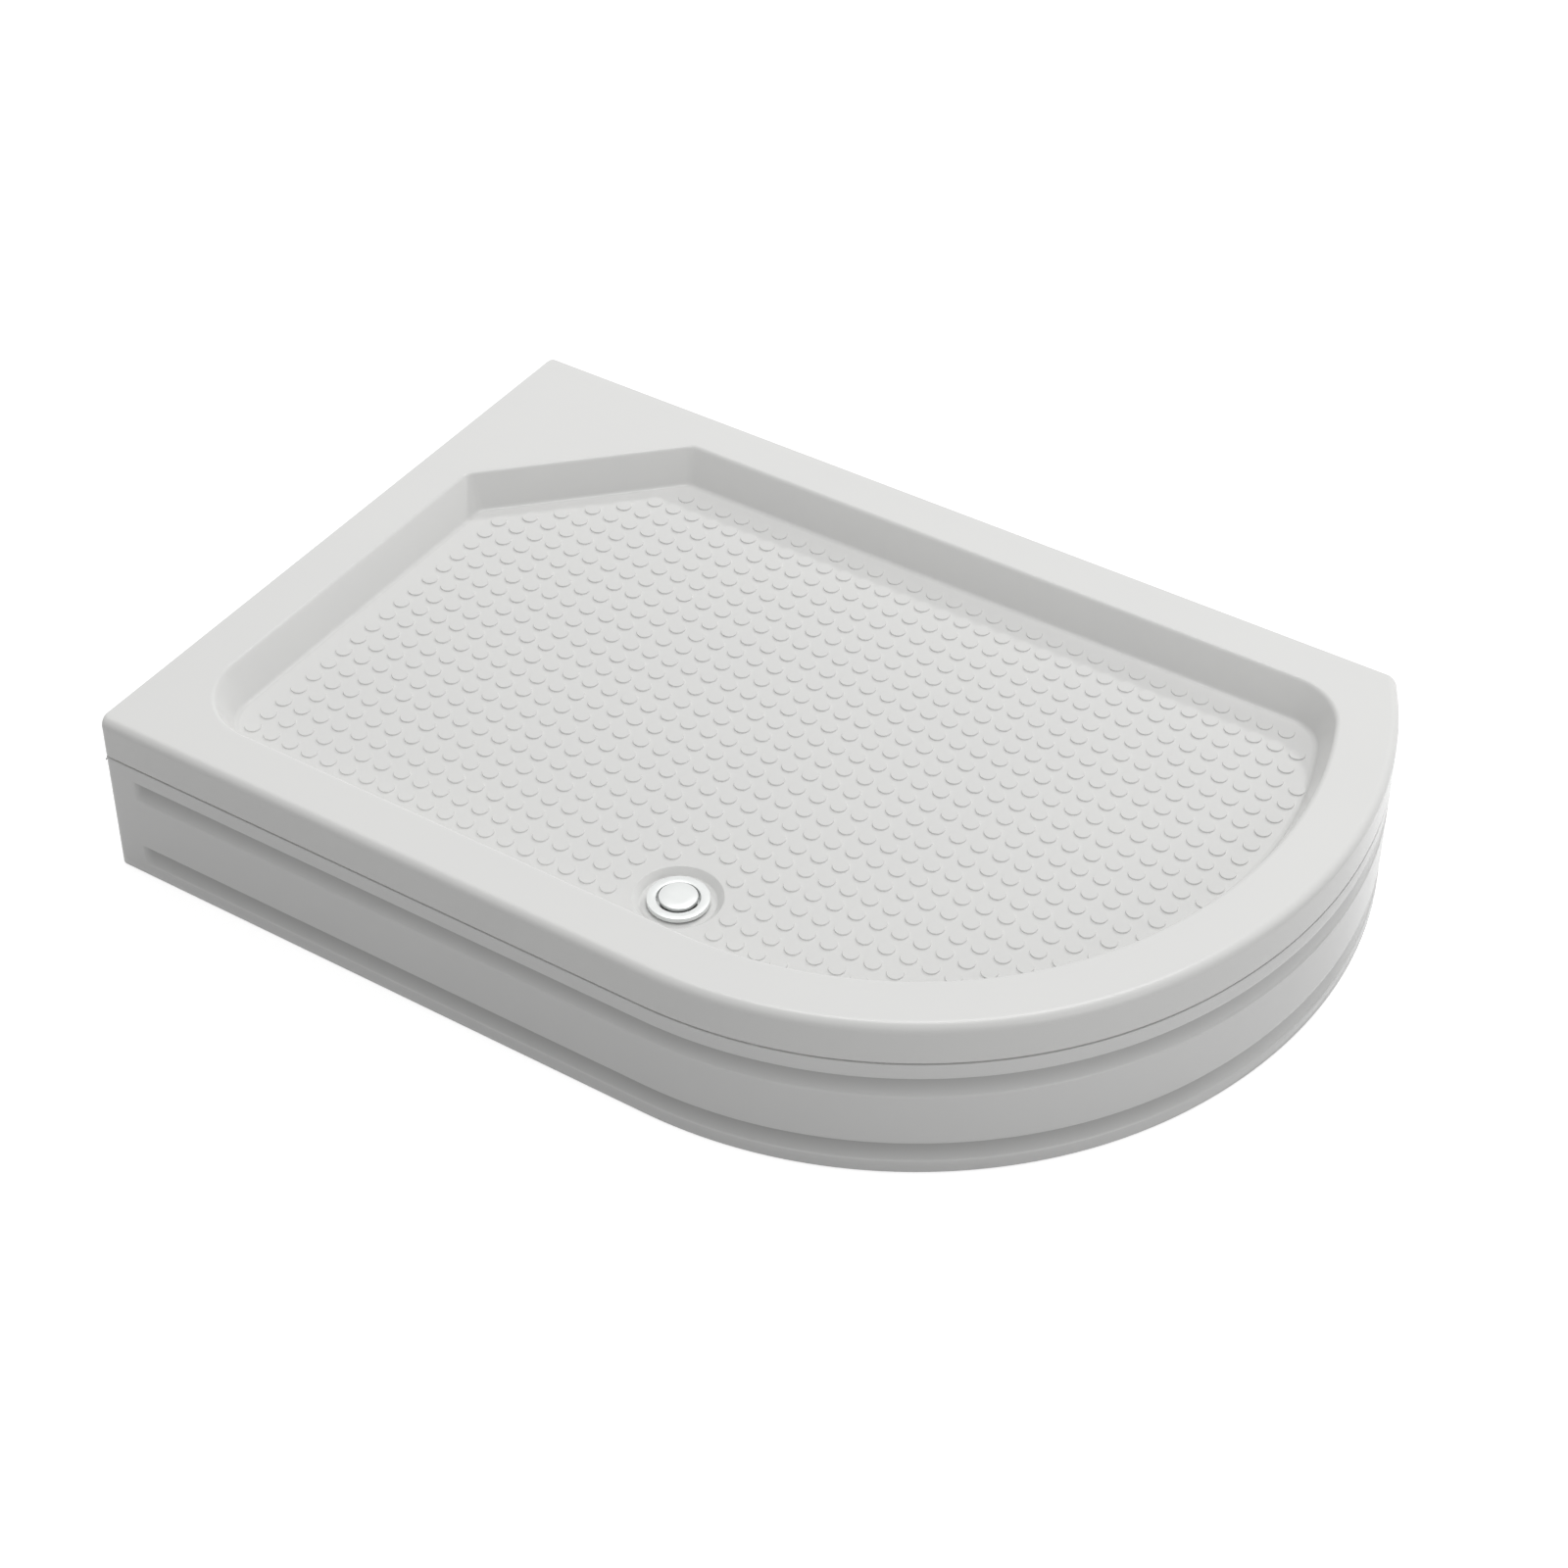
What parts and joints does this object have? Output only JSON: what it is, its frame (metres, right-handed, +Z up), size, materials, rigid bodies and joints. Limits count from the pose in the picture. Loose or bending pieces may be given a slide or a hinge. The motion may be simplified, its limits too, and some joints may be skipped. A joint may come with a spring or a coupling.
{
  "type": "shower tray",
  "caption": "Raised white shower tray with a bowed corner, dotted pan floor, chrome press waste, lift-off front panel and levelling legs under a steel frame.",
  "frame": {"origin": "on the floor, under the middle of the tray's overall box in plan", "axes": "+X along the length towards the bowed side, +Y to the back wall, +Z up"},
  "size_m": [1.18, 0.8, 0.2],
  "materials": {
    "white_acrylic": "glossy cast acrylic",
    "white_acrylic_panel": "glossy moulded panel",
    "glass_fibre": "sprayed glass fibre resin, rough",
    "board": "raw chipboard",
    "block_wood": "raw softwood",
    "frame_steel": "galvanised grey",
    "zinc_steel": "bright zinc plate",
    "black_plastic": "moulded black",
    "chrome": "polished chrome plate",
    "seal_rubber": "soft black",
    "trap_plastic": "white polypropylene",
    "pipe_plastic": "grey waste pipe",
    "brass": "turned",
    "magnet": "dark plated magnet"
  },
  "bodies": {
    "tray": {"acrylic_shell": "white_acrylic", "glass_fibre_floor": "glass_fibre", "glass_fibre_rim": "glass_fibre", "base_board": "board", "frame_bar_left": "frame_steel", "frame_bar_right": "frame_steel", "frame_bar_middle": "frame_steel", "frame_rail_front": "frame_steel", "frame_rail_back": "frame_steel", "tube_end_caps": "black_plastic", "frame_screws": "zinc_steel", "leg_plates": "frame_steel", "waste_flange": "chrome", "flange_seal": "seal_rubber", "trap_seal": "seal_rubber", "trap_body": "trap_plastic", "dip_tube": "trap_plastic", "plug_guide": "trap_plastic", "outlet_nut": "trap_plastic", "outlet_seal": "seal_rubber", "outlet_pipe": "pipe_plastic", "fixing_blocks": "block_wood", "panel_brackets": "zinc_steel", "bracket_screws": "zinc_steel", "panel_magnets": "magnet"},
    "plug": {"plug_cap": "chrome", "plug_seal": "seal_rubber", "plug_stem": "brass"},
    "panel": {"front_panel": "white_acrylic_panel", "strike_plates": "zinc_steel"},
    "leg_1": {"leg_1_stud": "zinc_steel", "leg_1_foot": "black_plastic"},
    "nuts_1": {"leg_1_nuts": "zinc_steel"},
    "leg_2": {"leg_2_stud": "zinc_steel", "leg_2_foot": "black_plastic"},
    "nuts_2": {"leg_2_nuts": "zinc_steel"},
    "leg_3": {"leg_3_stud": "zinc_steel", "leg_3_foot": "black_plastic"},
    "nuts_3": {"leg_3_nuts": "zinc_steel"},
    "leg_4": {"leg_4_stud": "zinc_steel", "leg_4_foot": "black_plastic"},
    "nuts_4": {"leg_4_nuts": "zinc_steel"},
    "leg_5": {"leg_5_stud": "zinc_steel", "leg_5_foot": "black_plastic"},
    "nuts_5": {"leg_5_nuts": "zinc_steel"}
  },
  "joints": [
    {"name": "plug_press", "type": "slide", "parent": "tray", "child": "plug", "axis": [0, 0, 1], "range_m": [-0.0055, 0]},
    {"name": "panel_pull", "type": "slide", "parent": "tray", "child": "panel", "axis": [0.8722, -0.4891, 0], "range_m": [0, 0.15]},
    {"name": "nuts_1_turn", "type": "hinge", "parent": "tray", "child": "nuts_1", "pos_m": [-0.433, -0.3, 0.107], "axis": [0, 0, 1], "range_deg": [-1300, 2400]},
    {"name": "leg_1_raise", "type": "slide", "parent": "tray", "child": "leg_1", "axis": [0, 0, -1], "range_m": [-0.005, 0.01]},
    {"name": "nuts_2_turn", "type": "hinge", "parent": "tray", "child": "nuts_2", "pos_m": [-0.433, 0.3, 0.107], "axis": [0, 0, 1], "range_deg": [-1300, 2400]},
    {"name": "leg_2_raise", "type": "slide", "parent": "tray", "child": "leg_2", "axis": [0, 0, -1], "range_m": [-0.005, 0.01]},
    {"name": "nuts_3_turn", "type": "hinge", "parent": "tray", "child": "nuts_3", "pos_m": [0.338, -0.22, 0.107], "axis": [0, 0, 1], "range_deg": [-1300, 2400]},
    {"name": "leg_3_raise", "type": "slide", "parent": "tray", "child": "leg_3", "axis": [0, 0, -1], "range_m": [-0.005, 0.01]},
    {"name": "nuts_4_turn", "type": "hinge", "parent": "tray", "child": "nuts_4", "pos_m": [0.338, 0.3, 0.107], "axis": [0, 0, 1], "range_deg": [-1300, 2400]},
    {"name": "leg_4_raise", "type": "slide", "parent": "tray", "child": "leg_4", "axis": [0, 0, -1], "range_m": [-0.005, 0.01]},
    {"name": "nuts_5_turn", "type": "hinge", "parent": "tray", "child": "nuts_5", "pos_m": [-0.028, 0.045, 0.107], "axis": [0, 0, 1], "range_deg": [-1300, 2400]},
    {"name": "leg_5_raise", "type": "slide", "parent": "tray", "child": "leg_5", "axis": [0, 0, -1], "range_m": [-0.005, 0.01]}
  ],
  "couplings": [
    {"joint": "nuts_1_turn", "follows": "leg_1_raise", "rad_per_m": 3590.4},
    {"joint": "nuts_2_turn", "follows": "leg_2_raise", "rad_per_m": 3590.4},
    {"joint": "nuts_3_turn", "follows": "leg_3_raise", "rad_per_m": 3590.4},
    {"joint": "nuts_4_turn", "follows": "leg_4_raise", "rad_per_m": 3590.4},
    {"joint": "nuts_5_turn", "follows": "leg_5_raise", "rad_per_m": 3590.4}
  ]
}
